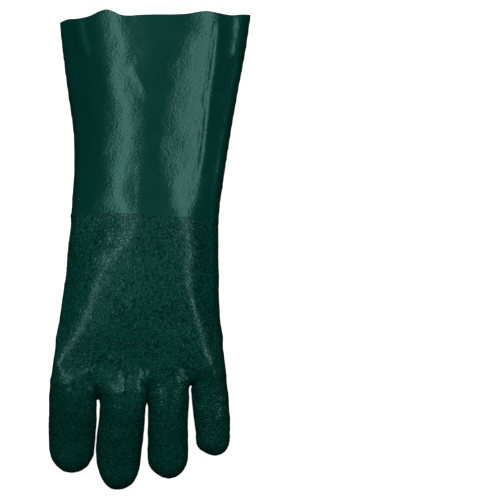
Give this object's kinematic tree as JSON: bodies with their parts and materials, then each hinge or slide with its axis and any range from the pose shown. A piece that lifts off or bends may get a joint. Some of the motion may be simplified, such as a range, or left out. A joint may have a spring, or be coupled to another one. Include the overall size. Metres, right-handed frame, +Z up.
{
  "type": "pvc coated work glove",
  "caption": "Long gauntlet work glove for the left hand, hollow, with a smooth glossy cuff and a rough sandy second coat on palm, fingers and thumb, lying palm down.",
  "frame": {"origin": "on the surface that the glove lies on, under the middle of its box", "axes": "+Z up from the surface, +Y from the fingertips to the cuff mouth, +X from the index finger to the little finger"},
  "size_m": [0.1448, 0.3464, 0.0573],
  "materials": {
    "smooth_pvc": "smooth dipped PVC, glossy, dark green",
    "sandy_pvc": "rough sandy dipped PVC, semi-matte, dark green"
  },
  "bodies": {
    "root": {"gauntlet_cuff": "smooth_pvc", "coated_hand": "sandy_pvc"}
  },
  "joints": []
}
